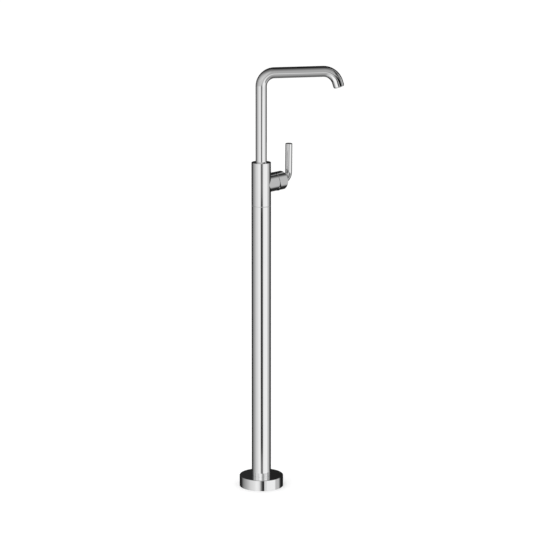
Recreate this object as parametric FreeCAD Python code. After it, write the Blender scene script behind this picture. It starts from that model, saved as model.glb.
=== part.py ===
import FreeCAD, Part
import math
import os

# Floor standing bath filler: column, mixer body with a side handle, swivel spout.
# Origin: centre of the base's underside, on the column's axis. +Z is up, and the
# spout points along +X at rest. Millimetres and degrees.

# Column
column_d = 50.0
column_wall = 1.5
column_top = 744.2            # height of the column's upper end above the floor
seam_bevel = 0.3              # on the edges each side of the seam

# Base
cover_d = 114.0
cover_h = 28.2
cover_wall = 1.5
cover_rim_round = 1.2
collar_wall = 3.6             # inner collar of the cover, which holds the seal
collar_h = 6.0
cover_seal_w = 2.0            # section of the ring between cover and column
plate_gap = 1.5               # radial, between the plate and the cover's wall
plate_h = 12.0
plate_bevel = 1.0
spigot_h = 22.0               # the plate's spigot inside the column
bolt_circle_d = 84.0
bolt_hole_d = 9.0
bolt_count = 4
floor_seal_d = 60.0           # mean diameter of the ring under the plate
floor_seal_w = 4.0
floor_seal_h = 2.0
lock_screw_d = 5.0            # grub screws that lock the column on the spigot
lock_screw_l = 7.0
lock_screw_count = 3
lock_screw_rise = 8.0         # above the plate's upper face

# Supply
inlet_d = 18.6                # wall of the half inch supply thread
inlet_depth = 11.0
inlet_offset = 13.2           # from the column's axis
pipe_d = 10.0
pipe_wall = 1.0
pipe_seat = 4.0               # how far a pipe enters its fitting
stub_d = 13.0
stub_h = 8.0
nut_flats = 16.0
nut_gap = 2.4                 # between the corners of the two nuts
nut_cover = 4.0               # the nut's length beyond the olive
olive_h = 3.0
valve_d = 11.0
valve_l = 10.0
valve_seat_d = 3.5
valve_seat_h = 3.4
channel_d = 7.0

# Mixer body
seam_h = 0.6
seam_inset = 0.3
body_below = 54.7             # from the seam ring up to the handle's axis
body_above = 57.0             # from the handle's axis up to the body's top
body_bevel = 0.6
body_spigot_h = 18.0
handle_turn = 37.0            # from the spout round to the handle
sleeve_d = 49.5
sleeve_end = 46.0             # from the column's axis
sleeve_bevel = 0.4

# Cartridge
cartridge_d = 35.0
cartridge_seat = 17.0         # from the column's axis
cartridge_base_h = 3.0
cartridge_wall = 1.5
disc_h = 3.0
carrier_h = 6.0
shell_flange_h = 3.0
rotor_flange_h = 5.3
neck_d = 24.2
neck_out = 4.0                # the rotor's neck beyond the pivot
port_d = 4.4
port_x = 5.0                  # inlet ports of the discs, each side of the middle
port_drop = 3.0               # inlet ports below the axis
port_rise = 4.0               # outlet port above the axis
feed_x = 8.0                  # inlet feeds of the body, each side of the middle
feed_d = 5.0
port_seal_w = 1.6             # section of the rings round the feeds
moving_disc_d = 24.0
mixing_depth = 1.6
nut_thread_d = 42.0
nut_thread_l = 5.0
nut_lip_h = 2.5
nut_lip_d = 40.4
nut_bore_d = 26.4
nut_slot_w = 4.0
nut_slot_depth = 1.5
nut_slot_count = 4

# Handle
tilt_range = 25.0
tilt_spare = 2.0              # the cap's wedge is this much wider than the tilt
cap_length = 30.7
cap_bore_d = 44.0
cap_rim_round = 1.5
dome_wall = 1.0
dome_skirt = 3.8
dome_mouth = 45.0             # half angle of the dome's opening, from the pivot
stem_w = 7.6
stem_edge_round = 0.6
stem_hub_d = 10.4
stem_seat = 5.2               # how far the stem enters the cap
arm_d = 4.8
arm_length = 15.5             # from the pivot to the ball's centre
ball_d = 6.0
pivot_pin_d = 3.0
pivot_pin_l = 22.0
handle_screw_d = 4.0
handle_screw_l = 10.0
lever_d = 18.0
lever_out = 105.8             # from the column's axis to the upright part
lever_bend_r = 18.0
lever_lean = 0.8              # the upright part leans outwards a little
lever_top = 92.5              # above the handle's axis
lever_rim_round = 1.5
lever_spigot_d = 10.0
lever_spigot_l = 3.6

# Spout
spout_d = 28.6
spout_wall = 1.3
spout_rise = 228.5            # from the body's top up to the spout's axis
spout_bend_r = 33.0
spout_reach = 160.0           # from the column's axis to the nose's bend
nose_bend_r = 40.0
nose_turn = 72.5
nose_straight = 13.0
nose_rim_round = 0.4
socket_depth = 38.0           # for the tail, below the body's top
pipe_socket_depth = 12.0
bearing_h = 1.6
tail_d = 23.8
tail_bore_d = 16.0
tail_in_pipe = 20.0
spout_ring_w = 2.5            # section of the spout's sealing rings
first_ring_depth = 26.0       # below the body's top
ring_pitch = 6.0
ring_count = 2
stop_depth = 17.5             # stop screw below the body's top
stop_screw_d = 4.0
stop_dog_d = 3.2
stop_dog_l = 1.3
stop_slot_h = 4.4
stop_slot_depth = 1.6
swing_range = 60.0            # each way
swing_spare = 11.0            # the slot is longer than the swing, for the dog

# Aerator
aerator_inset = 0.6
aerator_l = 10.0
aerator_wall = 1.8
aerator_lip = 0.8
washer_h = 2.0
washer_w = 3.4
jet_d = 2.2
jet_pitch = 3.5
jet_rings = 2

# Clearances
slip = 0.1                    # radial, between pieces pushed together and fixed
run = 0.3                     # radial, between turning pieces that don't touch
pin_run = 0.05                # radial, the pivot pin in the stem
ring_run = 0.15               # radial, the spout's rings in their socket
face_gap = 0.3                # between flat faces that move past each other
cap_gap = 0.4                 # between the sleeve's end and the cap
cap_floor_gap = 0.6           # between the dome's mouth and the cap's floor
dome_play = 0.5               # between the dome and the cap's bore
stem_play = 0.5               # round the stem in the rotor's slot
ball_play = 0.5               # round the ball in the carrier
over = 1.0                    # how far a cutting shape passes a face

# Radii, and heights up the column's axis
plate_r = cover_d / 2 - cover_wall - plate_gap
column_r = column_d / 2
column_inner_r = column_r - column_wall
spigot_r = column_inner_r - slip
spigot_top = plate_h + spigot_h
lock_screw_z = plate_h + lock_screw_rise
seam_top = column_top + seam_h
axis_z = seam_top + body_below
body_top = axis_z + body_above
spigot_foot = seam_top - body_spigot_h
stub_foot = spigot_foot - stub_h
nut_corner_r = nut_flats / math.sqrt(3)
pipe_offset = nut_corner_r + nut_gap / 2
spout_axis = body_top + spout_rise
spout_r = spout_d / 2
spout_inner_r = spout_r - spout_wall
pipe_socket_foot = body_top - pipe_socket_depth
spout_foot = pipe_socket_foot + bearing_h + face_gap
tail_r = tail_d / 2
tail_socket_r = tail_r + run

# Places along the handle's axis, from the column's axis
sleeve_r = sleeve_d / 2
cartridge_r = cartridge_d / 2
chamber_r = cartridge_r - cartridge_wall
disc_back = cartridge_seat + cartridge_base_h
moving_back = disc_back + disc_h
carrier_back = moving_back + disc_h
rotor_back = carrier_back + carrier_h + face_gap
rotor_shoulder = rotor_back + rotor_flange_h
shell_front = rotor_shoulder + face_gap + shell_flange_h
pivot_at = sleeve_end         # the pivot lies in the plane of the sleeve's end
ball_at = pivot_at - arm_length
tilt = math.radians(tilt_range)
disc_travel = arm_length * math.sin(tilt)
disc_low = -disc_travel / 2   # middle of the moving disc when the handle is closed
cap_back = sleeve_end + cap_gap
cap_front = cap_back + cap_length
cap_bore_r = cap_bore_d / 2
dome_r = cap_bore_r - dome_play
mouth_swing = math.radians(dome_mouth - tilt_range)
cap_floor = pivot_at + dome_r * math.cos(mouth_swing) + cap_floor_gap
stem_end = cap_floor + stem_seat


def at(x, y, z):
    return FreeCAD.Vector(x, y, z)


origin = at(0, 0, 0)
up = at(0, 0, 1)


# Shapes that several pieces use
def rod(radius, low, high, x=0.0, y=0.0):
    return Part.makeCylinder(radius, high - low, at(x, y, low))


def tube(outer_r, inner_r, low, high):
    return rod(outer_r, low, high).cut(rod(inner_r, low - over, high + over))


def cross_rod(radius, start, end, direction):
    """Level round bar; start and end are measured along its direction."""
    height = direction.z
    heading = at(direction.x, direction.y, 0)
    foot = at(0, 0, height) + heading * start
    return Part.makeCylinder(radius, end - start, foot, heading)


def block(x_range, y_range, z_range):
    sizes = [high - low for low, high in (x_range, y_range, z_range)]
    corner = at(x_range[0], y_range[0], z_range[0])
    return Part.makeBox(*sizes, corner)


def seal(mean_r, width, height, x=0.0, y=0.0):
    """Moulded ring with a square section, about its middle height."""
    low = height - width / 2
    high = height + width / 2
    outer = rod(mean_r + width / 2, low, high, x, y)
    return outer.cut(rod(mean_r - width / 2, low - over, high + over, x, y))


def hexagon(flats, low, high):
    corner = flats / math.sqrt(3)
    points = []
    for index in range(7):
        angle = math.radians(60.0 * index)
        points.append(at(corner * math.cos(angle), corner * math.sin(angle), low))
    return Part.Face(Part.makePolygon(points)).extrude(at(0, 0, high - low))


def spaced_round(shape, count):
    """Copies of a shape, evenly spaced about the column's axis."""
    copies = []
    for index in range(count):
        copy = shape.copy()
        copy.rotate(origin, up, 360.0 * index / count)
        copies.append(copy)
    return copies


def rim(shape, centre, radius):
    """The round edges of one radius about one centre."""
    found = []
    for edge in shape.Edges:
        if isinstance(edge.Curve, Part.Circle):
            near = (edge.Curve.Center - centre).Length < 1e-4
            same = abs(edge.Curve.Radius - radius) < 1e-4
            if near and same:
                found.append(edge)
    return found


def arc_xz(centre_x, centre_z, radius, start, end):
    """Arc in the XZ plane; angles in degrees from +X towards +Z."""
    points = []
    for angle in (start, (start + end) / 2, end):
        turn = math.radians(angle)
        x = centre_x + radius * math.cos(turn)
        z = centre_z + radius * math.sin(turn)
        points.append(at(x, 0, z))
    return Part.Arc(*points).toShape()


def line(start, end):
    return Part.LineSegment(start, end).toShape()


def sweep(path, radius, heading):
    """Round bar along a path that sets out along the heading."""
    start = path[0].valueAt(path[0].FirstParameter)
    profile = Part.Wire(Part.makeCircle(radius, start, heading))
    return Part.Wire(path).makePipeShell([profile], True, False)


# Pieces on the handle's axis are drawn standing up: z is the distance from the
# column's axis, x is up and y is sideways. This frame lays them down in place.
handle_angle = math.radians(handle_turn)
sideways = at(math.sin(handle_angle), -math.cos(handle_angle), 0)
outwards = at(math.cos(handle_angle), math.sin(handle_angle), 0)
handle_frame = FreeCAD.Placement(
    at(0, 0, axis_z), FreeCAD.Rotation(up, sideways, outwards)
)

# The nose's frame has its origin in the outlet's centre and its z axis up the pipe.
nose_angle = math.radians(nose_turn)
outlet_x = (
    spout_reach
    + nose_bend_r * math.sin(nose_angle)
    + nose_straight * math.cos(nose_angle)
)
outlet_z = (
    spout_axis
    - nose_bend_r * (1 - math.cos(nose_angle))
    - nose_straight * math.sin(nose_angle)
)
nose_frame = FreeCAD.Placement(
    at(outlet_x, 0, outlet_z), FreeCAD.Rotation(at(0, 1, 0), nose_turn - 90.0)
)


def on_handle(shape):
    return shape.transformed(handle_frame.toMatrix(), True)


def on_nose(shape):
    return shape.transformed(nose_frame.toMatrix(), True)


def both_sides(make, offset):
    """Upright pieces on the hot and the cold side of the column's axis."""
    pair = []
    for sign in (1, -1):
        place = sideways * (sign * offset)
        pair.append(make(place.x, place.y))
    return pair


# Base
def make_base_plate():
    plate = rod(plate_r, 0, plate_h)
    plate = plate.makeChamfer(plate_bevel, rim(plate, at(0, 0, plate_h), plate_r))
    plate = plate.fuse([rod(spigot_r, 0, spigot_top)] + both_sides(make_lower_stub, pipe_offset))
    bolt_hole = rod(bolt_hole_d / 2, -over, plate_h + over, bolt_circle_d / 2)
    bolt_hole.rotate(origin, up, 180.0 / bolt_count)
    cuts = spaced_round(bolt_hole, bolt_count)
    cuts += both_sides(make_inlet, inlet_offset)
    cuts += both_sides(make_plate_channel, pipe_offset)
    cuts += spaced_round(make_lock_hole(slip / 2), lock_screw_count)
    cuts.append(make_floor_seal())
    return plate.cut(cuts).removeSplitter()


def make_lower_stub(x, y):
    return rod(stub_d / 2, spigot_top - over, spigot_top + stub_h, x, y)


def make_inlet(x, y):
    return rod(inlet_d / 2, -over, inlet_depth, x, y)


def make_plate_channel(x, y):
    """Valve bore above the inlet, then the channel, then the pipe's socket."""
    top = spigot_top + stub_h
    valve_bore = rod(valve_d / 2 + slip, inlet_depth - over, inlet_depth + valve_l, x, y)
    channel = rod(channel_d / 2, inlet_depth, top, x, y)
    socket = rod(pipe_d / 2 + slip, top - pipe_seat, top + over, x, y)
    return valve_bore.fuse([channel, socket])


def make_lock_hole(extra):
    """Hole for a lock screw, from outside the column into the spigot."""
    heading = at(-1, 0, lock_screw_z)
    return cross_rod(lock_screw_d / 2 + extra, -column_r - over, lock_screw_l - column_r, heading)


def make_floor_seal():
    mean_r = floor_seal_d / 2
    return tube(mean_r + floor_seal_w / 2, mean_r - floor_seal_w / 2, 0, floor_seal_h)


def make_base_cover():
    cover = rod(cover_d / 2, 0, cover_h)
    cover = cover.makeFillet(cover_rim_round, rim(cover, at(0, 0, cover_h), cover_d / 2))
    ceiling = cover_h - cover_wall
    cover = cover.cut(rod(cover_d / 2 - cover_wall, -over, ceiling))
    cover = cover.fuse(rod(column_r + run + collar_wall, ceiling - collar_h, ceiling + cover_wall / 2))
    cover = cover.cut(rod(column_r + run, -over, cover_h + over))
    return cover.cut(make_cover_seal(slip)).removeSplitter()


def make_cover_seal(extra=0.0):
    height = cover_h - cover_wall - collar_h / 2
    return seal(column_r + slip + cover_seal_w / 2, cover_seal_w + 2 * extra, height)


def make_column_tube():
    column = tube(column_r, column_inner_r, plate_h, column_top)
    column = column.makeChamfer(seam_bevel, rim(column, at(0, 0, column_top), column_r))
    return column.cut(spaced_round(make_lock_hole(slip), lock_screw_count))


def make_column_screws():
    """Grub screws, just below the column's surface, each with its hexagon socket."""
    outer_end = slip - column_r
    screw = cross_rod(lock_screw_d / 2, outer_end, lock_screw_l - column_r, at(-1, 0, lock_screw_z))
    socket = hexagon(lock_screw_d / 2, 0, lock_screw_d / 2)
    socket.rotate(origin, at(0, 1, 0), -90)
    socket.translate(at(-outer_end, 0, lock_screw_z))
    return Part.makeCompound(spaced_round(screw.cut(socket), lock_screw_count))


# Supply
def make_check_valves():
    """Non-return valves: a cup with a small seat in its upper end."""
    low = inlet_depth + slip
    high = inlet_depth + valve_l - slip

    def valve(x, y):
        cup = rod(valve_d / 2, low, high, x, y)
        bore = rod(channel_d / 2, low - over, high - valve_seat_h, x, y)
        seat = rod(valve_seat_d / 2, low, high + over, x, y)
        return cup.cut(bore.fuse(seat))

    return Part.makeCompound(both_sides(valve, pipe_offset))


def make_pipe(x, y):
    low = spigot_top + stub_h - pipe_seat + slip
    high = stub_foot + pipe_seat - slip
    pipe = rod(pipe_d / 2, low, high, x, y)
    return pipe.cut(rod(pipe_d / 2 - pipe_wall, low - over, high + over, x, y))


def make_union_nut():
    """Nut from the stub's shoulder upwards, over the stub, the olive and the pipe."""
    total = stub_h + olive_h + nut_cover
    blank = rod(nut_corner_r, face_gap, total)
    corner_bevel = nut_corner_r - nut_flats / 2
    blank = blank.makeChamfer(corner_bevel, rim(blank, at(0, 0, total), nut_corner_r))
    nut = hexagon(nut_flats, face_gap, total).common(blank)
    stub_bore = rod(stub_d / 2 + slip, -over, stub_h + olive_h)
    return nut.cut([stub_bore, rod(pipe_d / 2 + slip, -over, total + over)])


def make_olive():
    """Compression ring round the pipe, tapered at both ends."""
    low = stub_h + slip
    height = (olive_h - slip) / 2
    waist_r = stub_d / 2 - slip
    end_r = (pipe_d / 2 + waist_r) / 2
    lower = Part.makeCone(end_r, waist_r, height, at(0, 0, low))
    upper = Part.makeCone(waist_r, end_r, height, at(0, 0, low + height))
    bore = rod(pipe_d / 2 + slip / 2, low - over, low + 2 * height + over)
    return lower.fuse(upper).cut(bore)


def at_stubs(shape, level, flipped):
    """A fitting on both sides, standing on the plate or hanging from the body."""
    def moved(x, y):
        copy = shape.copy()
        if flipped:
            copy.rotate(origin, at(1, 0, 0), 180)
        copy.translate(at(x, y, level))
        return copy

    return both_sides(moved, pipe_offset)


def make_union_nuts(level, flipped):
    return Part.makeCompound(at_stubs(make_union_nut(), level, flipped))


def make_pipe_olives():
    lower = at_stubs(make_olive(), spigot_top, False)
    upper = at_stubs(make_olive(), spigot_foot, True)
    return Part.makeCompound(lower + upper)


# Mixer body
def make_seam_ring():
    return tube(column_r - seam_inset, spigot_r + slip, column_top, seam_top)


def make_mixer_body():
    body = rod(column_r, seam_top, body_top)
    body = body.makeChamfer(body_bevel, rim(body, at(0, 0, body_top), column_r))
    body = body.makeChamfer(seam_bevel, rim(body, at(0, 0, seam_top), column_r))
    added = [on_handle(make_sleeve()), rod(spigot_r, spigot_foot, seam_top + over)]
    added += both_sides(make_upper_stub, pipe_offset)
    body = body.fuse(added)
    cuts = [on_handle(make_cartridge_chamber()), make_spout_socket(), make_stop_hole()]
    cuts += both_sides(make_waterway, pipe_offset)
    cuts += make_feeds()
    for cut in cuts:
        body = body.cut(cut)
    return body.removeSplitter()


def make_sleeve():
    sleeve = rod(sleeve_r, 0, sleeve_end)
    return sleeve.makeChamfer(sleeve_bevel, rim(sleeve, at(0, 0, sleeve_end), sleeve_r))


def make_upper_stub(x, y):
    return rod(stub_d / 2, stub_foot, spigot_foot + over, x, y)


def make_cartridge_chamber():
    chamber = rod(cartridge_r + slip, cartridge_seat, sleeve_end + over)
    thread = rod(nut_thread_d / 2, shell_front - nut_thread_l, sleeve_end + over)
    skirt_seat = rod(dome_r + slip, sleeve_end - dome_skirt, sleeve_end + over)
    return chamber.fuse([thread, skirt_seat])


def make_spout_socket():
    pipe_socket = rod(spout_r + run, pipe_socket_foot, body_top + over)
    tail_socket = rod(tail_socket_r, body_top - socket_depth, body_top)
    outlet = rod(channel_d / 2, axis_z + port_rise, body_top - socket_depth + over)
    return pipe_socket.fuse([tail_socket, outlet])


def make_waterway(x, y):
    """Pipe socket and riser, from the stub up to the cartridge's feeds."""
    socket = rod(pipe_d / 2 + slip, stub_foot - over, stub_foot + pipe_seat, x, y)
    riser = rod(channel_d / 2, stub_foot, axis_z - port_drop, x, y)
    return socket.fuse(riser)


def make_feeds():
    """Level drillings from the risers and the outlet to the cartridge's seat."""
    feeds = []
    for x, y in feed_places():
        feeds.append(on_handle(rod(feed_d / 2, 0, cartridge_seat + over, x, y)))
    return feeds


def make_stop_hole():
    heading = at(1, 0, body_top - stop_depth)
    return cross_rod(stop_screw_d / 2 + slip / 2, -column_r - over, -tail_r, heading)


# Cartridge, drawn upright in the handle's frame
def port_places():
    return ((-port_drop, port_x), (-port_drop, -port_x), (port_rise, 0))


def feed_places():
    return ((-port_drop, feed_x), (-port_drop, -feed_x), (port_rise, 0))


def make_cartridge_base():
    base = rod(cartridge_r, cartridge_seat, disc_back)
    reach = port_d / 2
    middle = cartridge_seat + cartridge_base_h / 2
    cuts = [rod(reach, cartridge_seat - over, disc_back + over, port_rise, 0)]
    for sign in (1, -1):
        feed_y = sign * feed_x
        port_y = sign * port_x
        cuts.append(rod(reach, cartridge_seat - over, disc_back + over, -port_drop, feed_y))
        cuts.append(rod(reach, middle, disc_back + over, -port_drop, port_y))
        across = (min(feed_y, port_y), max(feed_y, port_y))
        rise = (-port_drop - reach, -port_drop + reach)
        cuts.append(block(rise, across, (middle, disc_back + over)))
    for x, y in feed_places():
        cuts.append(port_seal_groove(x, y))
    return base.cut(cuts)


def port_seal_groove(x, y):
    """Ring groove round a feed, open towards the seat."""
    mean_r = feed_d / 2 + slip + port_seal_w / 2
    high = cartridge_seat + port_seal_w + slip
    outer = rod(mean_r + port_seal_w / 2 + slip, cartridge_seat - over, high, x, y)
    return outer.cut(rod(mean_r - port_seal_w / 2 - slip, cartridge_seat - over, high, x, y))


def make_cartridge_seals():
    mean_r = feed_d / 2 + slip + port_seal_w / 2
    seals = []
    for x, y in feed_places():
        seals.append(seal(mean_r, port_seal_w, cartridge_seat + port_seal_w / 2, x, y))
    return Part.makeCompound(seals)


def make_fixed_disc():
    disc = rod(chamber_r - slip, disc_back, moving_back)
    return disc.cut([rod(port_d / 2, disc_back - over, moving_back + over, x, y)
                     for x, y in port_places()])


def make_moving_disc():
    """Disc with the pocket that joins both inlets to the outlet once it slides up."""
    disc = rod(moving_disc_d / 2, moving_back, carrier_back, disc_low)
    reach = port_d / 2
    depth = (moving_back - over, moving_back + mixing_depth)
    inlets_x = disc_low - port_drop - disc_travel / 2
    outlet_x_open = disc_low + port_rise - disc_travel / 2
    across = block(
        (inlets_x - reach, inlets_x + reach), (-port_x - reach, port_x + reach), depth
    )
    upwards = block((inlets_x, outlet_x_open + reach), (-reach, reach), depth)
    return disc.cut([across, upwards])


def make_disc_carrier():
    carrier = rod(moving_disc_d / 2, carrier_back, carrier_back + carrier_h, disc_low)
    ball_r = ball_d / 2
    pocket = rod(ball_r + ball_play, ball_at - ball_r - face_gap, rotor_back + over)
    return carrier.cut(pocket)


def make_cartridge_shell():
    shell = tube(cartridge_r, chamber_r, disc_back, shell_front)
    flange = tube(cartridge_r, neck_d / 2 + run, rotor_shoulder + face_gap, shell_front)
    return shell.fuse(flange).removeSplitter()


def make_cartridge_rotor():
    """Flange in the shell, and the neck with the slot that the stem tilts in."""
    neck_front = pivot_at + neck_out
    rotor = rod(chamber_r - run, rotor_back, rotor_shoulder)
    rotor = rotor.fuse(rod(neck_d / 2, rotor_back, neck_front))
    arm_swing = (pivot_at - rotor_back) * math.tan(tilt) + arm_d / 2 / math.cos(tilt)
    stem_swing = neck_out * math.tan(tilt) + stem_w / 2 / math.cos(tilt)
    slot_high = max(arm_swing, stem_hub_d / 2) + stem_play
    slot_low = -max(stem_swing, stem_hub_d / 2) - stem_play
    half_w = stem_w / 2 + stem_play
    slot = block((slot_low, slot_high), (-half_w, half_w), (rotor_back - over, neck_front + over))
    pin_hole = pivot_rod(pivot_pin_d / 2 + slip / 2, neck_d)
    return rotor.cut([slot, pin_hole]).removeSplitter()


def pivot_rod(radius, length):
    return Part.makeCylinder(radius, length, at(0, -length / 2, pivot_at), at(0, 1, 0))


def make_cartridge_nut():
    nut = tube(nut_thread_d / 2 - slip, cartridge_r + slip, shell_front - nut_thread_l, shell_front)
    nut = nut.fuse(tube(nut_lip_d / 2, nut_bore_d / 2, shell_front, shell_front + nut_lip_h))
    half_w = nut_slot_w / 2
    front = (shell_front + nut_lip_h - nut_slot_depth, shell_front + nut_lip_h + over)
    slot = block((nut_bore_d / 2 - over, nut_lip_d / 2 + over), (-half_w, half_w), front)
    return nut.cut(spaced_round(slot, nut_slot_count)).removeSplitter()


def make_sleeve_dome():
    """Skirt in the sleeve's end, then a round dome about the pivot, open in front."""
    skirt = tube(dome_r, dome_r - dome_wall, sleeve_end - dome_skirt, pivot_at)
    centre = at(0, 0, pivot_at)
    mouth_at = dome_r * math.cos(math.radians(dome_mouth))
    ball = Part.makeSphere(dome_r, centre)
    ball = ball.common(rod(dome_r + over, pivot_at, pivot_at + mouth_at))
    dome = ball.cut(Part.makeSphere(dome_r - dome_wall, centre))
    return skirt.fuse(dome).removeSplitter()


# Handle, drawn upright in the handle's frame
def make_lever_stem():
    """Square shank into the cap, hub on the pin, arm and ball into the carrier."""
    half_w = stem_w / 2
    shank = block((-half_w, half_w), (-half_w, half_w), (pivot_at, stem_end))
    long_edges = [edge for edge in shank.Edges if abs(edge.tangentAt(0).z) > 0.5]
    shank = shank.makeFillet(stem_edge_round, long_edges)
    arm = rod(arm_d / 2, ball_at, pivot_at)
    ball = Part.makeSphere(ball_d / 2, at(0, 0, ball_at))
    stem = shank.fuse([pivot_rod(stem_hub_d / 2, stem_w), arm, ball])
    return stem.cut(pivot_rod(pivot_pin_d / 2 + pin_run, stem_w + over)).removeSplitter()


def make_handle_cap():
    cap = rod(sleeve_r, cap_back, cap_front)
    cap = cap.makeFillet(cap_rim_round, rim(cap, at(0, 0, cap_front), sleeve_r))
    cap = cap.makeChamfer(sleeve_bevel, rim(cap, at(0, 0, cap_back), sleeve_r))
    fit = stem_w / 2 + slip
    cuts = [
        make_tilt_wedge(),
        rod(cap_bore_r, cap_back - over, cap_floor),
        block((-fit, fit), (-fit, fit), (cap_floor - over, stem_end + slip)),
        rod(lever_spigot_d / 2 + slip / 2, cap_front - lever_spigot_l - slip, cap_front + over),
        screw_bar(handle_screw_d / 2 + slip, stem_w / 2, sleeve_r + over),
    ]
    return cap.cut(cuts)


def make_tilt_wedge():
    """Room behind the cap's lower half, so that the cap can tilt."""
    drop = sleeve_r + over
    lean = math.tan(math.radians(tilt_range + tilt_spare))
    corners = [
        at(0, -drop, cap_back),
        at(-drop, -drop, cap_back + drop * lean),
        at(-drop, -drop, cap_back - over),
        at(0, -drop, cap_back - over),
        at(0, -drop, cap_back),
    ]
    return Part.Face(Part.makePolygon(corners)).extrude(at(0, 2 * drop, 0))


def screw_bar(radius, start, end):
    """Bar under the stem, square to it, from start down to end."""
    return Part.makeCylinder(
        radius, end - start, at(-start, 0, cap_floor + stem_seat / 2), at(-1, 0, 0)
    )


def make_handle_screw():
    start = stem_w / 2 + slip
    screw = screw_bar(handle_screw_d / 2, start, start + handle_screw_l)
    socket = hexagon(handle_screw_d / 2, 0, handle_screw_d / 2)
    socket.rotate(origin, at(0, 1, 0), 90)
    socket.translate(at(-start - handle_screw_l, 0, cap_floor + stem_seat / 2))
    return screw.cut(socket)


def make_lever_rod():
    """Out of the cap's face, round the bend and upright, with a rounded end."""
    lean = math.radians(lever_lean)
    bend_end_x = lever_bend_r * (1 - math.sin(lean))
    bend_start_z = lever_out - lever_bend_r * math.cos(lean) + bend_end_x * math.tan(lean)
    bend = arc_xz(lever_bend_r, bend_start_z, lever_bend_r, 180.0, 90.0 + lever_lean)
    bend_end = at(bend_end_x, 0, bend_start_z + lever_bend_r * math.cos(lean))
    top_end = at(lever_top, 0, lever_out + lever_top * math.tan(lean))
    path = [line(at(0, 0, cap_front), at(0, 0, bend_start_z)), bend, line(bend_end, top_end)]
    lever = sweep(path, lever_d / 2, up)
    lever = lever.makeFillet(lever_rim_round, rim(lever, top_end, lever_d / 2))
    spigot = rod(lever_spigot_d / 2, cap_front - lever_spigot_l, cap_front + over)
    return lever.fuse(spigot).removeSplitter()


# Spout
def spout_path():
    bend_z = spout_axis - spout_bend_r
    nose_z = spout_axis - nose_bend_r
    nose_start = 90.0 - nose_turn
    turn = math.radians(nose_start)
    nose_end = at(
        spout_reach + nose_bend_r * math.cos(turn), 0, nose_z + nose_bend_r * math.sin(turn)
    )
    return [
        line(at(0, 0, spout_foot), at(0, 0, bend_z)),
        arc_xz(spout_bend_r, bend_z, spout_bend_r, 180.0, 90.0),
        line(at(spout_bend_r, 0, spout_axis), at(spout_reach, 0, spout_axis)),
        arc_xz(spout_reach, nose_z, nose_bend_r, 90.0, nose_start),
        line(nose_end, at(outlet_x, 0, outlet_z)),
    ]


def make_spout_pipe():
    pipe = sweep(spout_path(), spout_r, up)
    outlet = at(outlet_x, 0, outlet_z)
    pipe = pipe.makeFillet(nose_rim_round, rim(pipe, outlet, spout_r))
    return pipe.cut(sweep(spout_path(), spout_inner_r, up))


def ring_heights():
    first = body_top - first_ring_depth
    return [first - index * ring_pitch for index in range(ring_count)]


def spout_ring_r():
    return tail_socket_r - ring_run - spout_ring_w / 2


def make_spout_tail():
    """Tail pushed into the spout's foot, with ring grooves and the stop slot."""
    foot = body_top - socket_depth + face_gap
    top = spout_foot + tail_in_pipe
    tail = rod(tail_r, foot, spout_foot).fuse(rod(spout_inner_r - slip / 2, spout_foot, top))
    groove_floor = spout_ring_r() - spout_ring_w / 2 - slip / 2
    half_h = spout_ring_w / 2 + slip
    cuts = [rod(tail_bore_d / 2, foot - over, top + over), make_stop_slot()]
    for height in ring_heights():
        cuts.append(tube(tail_r + over, groove_floor, height - half_h, height + half_h))
    return tail.cut(cuts).removeSplitter()


def make_stop_slot():
    """Part-ring groove, opposite the spout, that the stop screw's dog runs in."""
    height = body_top - stop_depth
    reach = swing_range + swing_spare
    inner = tail_r - stop_slot_depth
    low = height - stop_slot_h / 2
    high = height + stop_slot_h / 2
    corners = [(inner, low), (tail_r + over, low), (tail_r + over, high), (inner, high)]
    corners.append(corners[0])
    section = Part.Face(Part.makePolygon([at(x, 0, z) for x, z in corners]))
    section.rotate(origin, up, 180.0 - reach)
    return section.revolve(origin, up, 2 * reach)


def make_spout_rings():
    rings = [seal(spout_ring_r(), spout_ring_w, height) for height in ring_heights()]
    return Part.makeCompound(rings)


def make_spout_bearing():
    return tube(spout_r + run - slip, tail_socket_r, pipe_socket_foot, pipe_socket_foot + bearing_h)


def make_spout_stop_screw():
    heading = at(1, 0, body_top - stop_depth)
    neck = -tail_socket_r - slip
    screw = cross_rod(stop_screw_d / 2, slip - column_r, neck, heading)
    dog = cross_rod(stop_dog_d / 2, neck - over, stop_dog_l - tail_r, heading)
    socket = hexagon(stop_screw_d / 2, 0, stop_screw_d / 2)
    socket.rotate(origin, at(0, 1, 0), 90)
    socket.translate(at(slip - column_r, 0, heading.z))
    return screw.fuse(dog).cut(socket)


# Aerator, drawn upright in the nose's frame
def make_aerator_housing():
    outer_r = spout_inner_r - slip / 2
    top = aerator_inset + aerator_l
    housing = tube(outer_r, outer_r - aerator_wall, aerator_inset, top)
    lip_r = outer_r - aerator_wall - aerator_lip
    lip = tube(outer_r, lip_r, aerator_inset, aerator_inset + aerator_lip)
    return housing.fuse(lip).removeSplitter()


def make_aerator_insert():
    """Jet insert with its holes in rings of six, twelve and so on."""
    low = aerator_inset + aerator_lip + slip
    high = aerator_inset + aerator_l
    insert = rod(spout_inner_r - aerator_wall - 2 * slip, low, high)
    jets = [rod(jet_d / 2, low - over, high + over)]
    for ring_index in range(1, jet_rings + 1):
        jet = rod(jet_d / 2, low - over, high + over, ring_index * jet_pitch)
        jets += spaced_round(jet, 6 * ring_index)
    return insert.cut(jets)


def make_aerator_washer():
    low = aerator_inset + aerator_l + slip
    outer_r = spout_inner_r - slip
    return tube(outer_r, outer_r - washer_w, low, low + washer_h)


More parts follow.
